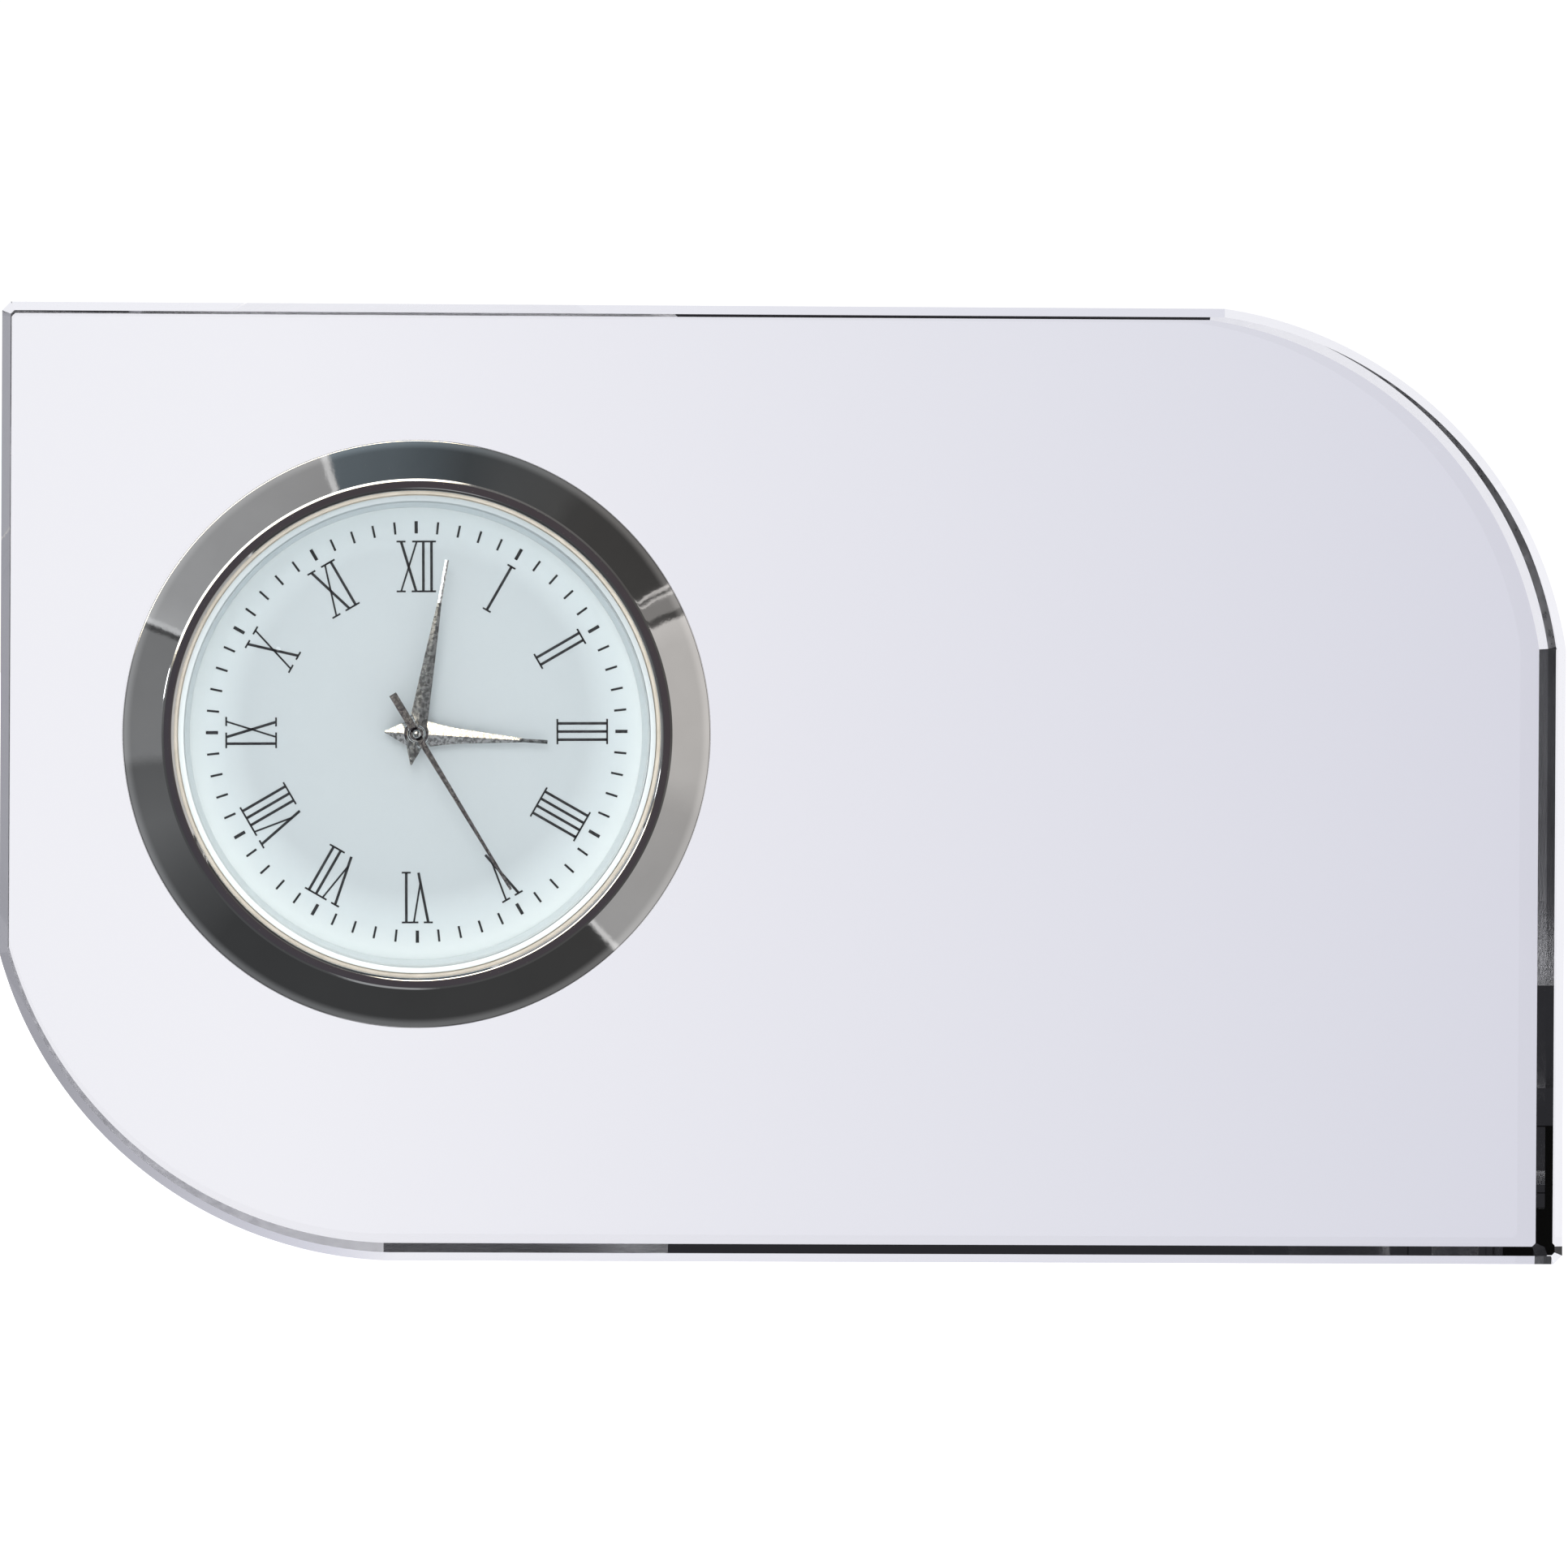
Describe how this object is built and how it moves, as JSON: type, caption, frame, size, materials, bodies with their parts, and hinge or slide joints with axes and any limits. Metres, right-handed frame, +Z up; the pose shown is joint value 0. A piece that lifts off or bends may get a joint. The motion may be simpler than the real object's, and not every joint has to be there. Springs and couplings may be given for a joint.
{
  "type": "desk clock",
  "caption": "Desk clock: a clear glass block with two large rounded corners and a round push-in quartz insert with chrome bezel, Roman dial and three hands.",
  "frame": {"origin": "middle of the glass block's flat underside", "axes": "+X to the right seen from the dial side, +Y from the dial towards the back, +Z up"},
  "size_m": [0.1, 0.022, 0.061],
  "materials": {
    "clear_glass": "clear, polished, faintly cool tint",
    "lens_glass": "clear, polished",
    "polished_chrome": "mirror polished",
    "clear_rubber": "translucent, cream",
    "white_plastic": "satin",
    "dial_paint": "satin white with a cool tint",
    "case_steel": "fine brushed",
    "dark_rubber": "matt black",
    "silver_hand": "polished facets",
    "movement_brass": "satin",
    "movement_steel": "satin",
    "copper_wire": "enamelled copper wire",
    "green_board": "lacquered laminate",
    "black_resin": "moulded",
    "cell_can": "nickel plated"
  },
  "bodies": {
    "glass_stand": {"glass_block": "clear_glass"},
    "insert": {"bezel": "polished_chrome", "lens": "lens_glass", "lens_gasket": "clear_rubber", "dial_spacer": "white_plastic", "dial": "dial_paint", "case_body": "case_steel", "grip_ring": "clear_rubber", "back_seal": "dark_rubber", "movement_holder": "white_plastic", "main_plate": "movement_brass", "train_bridge": "movement_brass", "bridge_screw_1": "movement_steel", "bridge_screw_2": "movement_steel", "bridge_screw_3": "movement_steel", "stator": "movement_steel", "coil_core": "movement_steel", "coil_winding": "copper_wire", "coil_screw_1": "movement_steel", "coil_screw_2": "movement_steel", "circuit_board": "green_board", "quartz_can": "movement_steel", "timing_chip": "black_resin", "button_cell": "cell_can", "cell_contact": "movement_brass", "cell_clip": "movement_steel", "dial_washer": "movement_brass"},
    "back_cover": {"back_cover": "case_steel"},
    "clutch": {"clutch_pinion": "movement_steel"},
    "crown": {"crown": "polished_chrome", "setting_stem": "movement_steel"},
    "setting_lever": {"setting_lever": "movement_steel"},
    "rotor": {"rotor": "movement_steel"},
    "step_wheel": {"step_wheel": "movement_brass"},
    "second_hand": {"second_hand": "silver_hand", "second_wheel": "movement_brass"},
    "third_wheel": {"third_wheel": "movement_brass"},
    "minute_hand": {"minute_hand": "silver_hand", "centre_wheel": "movement_brass", "cannon_pinion": "movement_steel"},
    "minute_wheel": {"minute_wheel": "movement_brass"},
    "hour_hand": {"hour_hand": "silver_hand", "hour_wheel": "movement_brass"}
  },
  "joints": [
    {"name": "insert_pull", "type": "slide", "parent": "glass_stand", "child": "insert", "axis": [0, -1, 0], "range_m": [0, 0.012]},
    {"name": "back_cover_off", "type": "slide", "parent": "insert", "child": "back_cover", "axis": [0, 1, 0], "range_m": [0, 0.0135]},
    {"name": "crown_turn", "type": "hinge", "parent": "insert", "child": "clutch", "pos_m": [-0.0177, -0.00535, 0.0336], "axis": [1, 0, 0], "continuous": true},
    {"name": "crown_pull", "type": "slide", "parent": "clutch", "child": "crown", "axis": [1, 0, 0], "range_m": [0, 0.0008]},
    {"name": "lever_turn", "type": "hinge", "parent": "insert", "child": "setting_lever", "pos_m": [-0.01635, -0.0046, 0.031], "axis": [0, 1, 0], "range_deg": [0, 17.64]},
    {"name": "second_hand_turn", "type": "hinge", "parent": "insert", "child": "second_hand", "pos_m": [-0.0235, -0.0098, 0.0336], "axis": [0, 1, 0], "continuous": true},
    {"name": "rotor_turn", "type": "hinge", "parent": "insert", "child": "rotor", "pos_m": [-0.0203, -0.00545, 0.03793], "axis": [0, 1, 0], "continuous": true},
    {"name": "step_wheel_turn", "type": "hinge", "parent": "insert", "child": "step_wheel", "pos_m": [-0.02125, -0.0044, 0.03628], "axis": [0, 1, 0], "continuous": true},
    {"name": "third_wheel_turn", "type": "hinge", "parent": "insert", "child": "third_wheel", "pos_m": [-0.02644, -0.0052, 0.0353], "axis": [0, 1, 0], "continuous": true},
    {"name": "minute_hand_turn", "type": "hinge", "parent": "insert", "child": "minute_hand", "pos_m": [-0.0235, -0.0092, 0.0336], "axis": [0, 1, 0], "continuous": true},
    {"name": "minute_wheel_turn", "type": "hinge", "parent": "insert", "child": "minute_wheel", "pos_m": [-0.0206, -0.0069, 0.0336], "axis": [0, 1, 0], "continuous": true},
    {"name": "hour_hand_turn", "type": "hinge", "parent": "insert", "child": "hour_hand", "pos_m": [-0.0235, -0.0086, 0.0336], "axis": [0, 1, 0], "continuous": true}
  ],
  "couplings": [
    {"joint": "step_wheel_turn", "follows": "second_hand_turn", "ratio": -5},
    {"joint": "rotor_turn", "follows": "second_hand_turn", "ratio": 30},
    {"joint": "third_wheel_turn", "follows": "second_hand_turn", "ratio": -0.13333},
    {"joint": "minute_hand_turn", "follows": "second_hand_turn", "ratio": 0.016667},
    {"joint": "minute_wheel_turn", "follows": "second_hand_turn", "ratio": -0.0055556},
    {"joint": "hour_hand_turn", "follows": "second_hand_turn", "ratio": 0.0013889},
    {"joint": "lever_turn", "follows": "crown_pull", "rad_per_m": 384.62}
  ]
}
